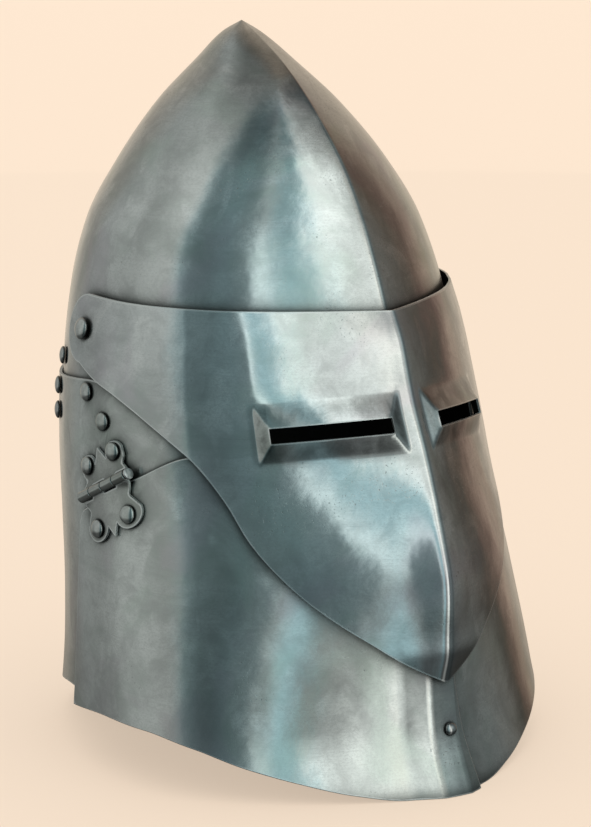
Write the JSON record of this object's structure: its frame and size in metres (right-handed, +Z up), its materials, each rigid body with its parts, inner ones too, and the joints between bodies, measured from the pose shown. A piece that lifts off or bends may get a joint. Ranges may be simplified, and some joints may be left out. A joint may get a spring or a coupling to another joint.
{
  "type": "visored sugarloaf helm",
  "caption": "Tall plate helm: pointed skull with one sharp ridge, back plate, two hinged cheek plates that lap in front, and a keeled visor with two folded sights.",
  "frame": {"origin": "middle of the bounding box on the ground, under the rim", "axes": "+Z up through the point of the skull; the face looks along -Y; +X is the wearer's left"},
  "size_m": [0.2486, 0.285, 0.372],
  "materials": {
    "skull": "satin polished, fine level brushing",
    "back_plate": "satin polished, fine level brushing",
    "cheek_plates": "satin polished, light scuffs",
    "visor": "satin polished, light dents along the keel",
    "hinges": "filed and softly polished",
    "rivets": "domed and softly polished"
  },
  "bodies": {
    "helm": {"skull": "skull", "back_plate": "back_plate", "hinge_upper_leaf_right": "hinges", "hinge_pin_right": "hinges", "hinge_rivet_upper_back_right": "rivets", "hinge_rivet_upper_front_right": "rivets", "visor_pivot_right": "rivets", "rivet_seam_right": "rivets", "rivet_nape_upper_right": "rivets", "rivet_nape_lower_right": "rivets", "rivet_temple_upper_right": "rivets", "rivet_temple_lower_right": "rivets", "hinge_upper_leaf_left": "hinges", "hinge_pin_left": "hinges", "hinge_rivet_upper_back_left": "rivets", "hinge_rivet_upper_front_left": "rivets", "visor_pivot_left": "rivets", "rivet_seam_left": "rivets", "rivet_nape_upper_left": "rivets", "rivet_nape_lower_left": "rivets", "rivet_temple_upper_left": "rivets", "rivet_temple_lower_left": "rivets"},
    "visor": {"visor": "visor"},
    "cheek_right": {"cheek_plate_right": "cheek_plates", "closure_stud": "rivets", "hinge_lower_leaf_right": "hinges", "hinge_rivet_lower_back_right": "rivets", "hinge_rivet_lower_front_right": "rivets"},
    "cheek_left": {"cheek_plate_left": "cheek_plates", "hinge_lower_leaf_left": "hinges", "hinge_rivet_lower_back_left": "rivets", "hinge_rivet_lower_front_left": "rivets"}
  },
  "joints": [
    {"name": "visor_pivot", "type": "hinge", "parent": "helm", "child": "visor", "pos_m": [0, 0.03692, 0.22034], "axis": [-1, 0, 0], "range_deg": [0, 42]},
    {"name": "cheek_hinge_right", "type": "hinge", "parent": "helm", "child": "cheek_right", "pos_m": [-0.11227, -0.00465, 0.15], "axis": [-0.1706, 0.8719, -0.4589], "range_deg": [0, 42]},
    {"name": "cheek_hinge_left", "type": "hinge", "parent": "helm", "child": "cheek_left", "pos_m": [0.11227, -0.00465, 0.15], "axis": [-0.1706, -0.8719, 0.4589], "range_deg": [0, 42]}
  ],
  "couplings": [
    {"joint": "cheek_hinge_right", "follows": "visor_pivot", "ratio": 1},
    {"joint": "cheek_hinge_left", "follows": "visor_pivot", "ratio": 1}
  ]
}
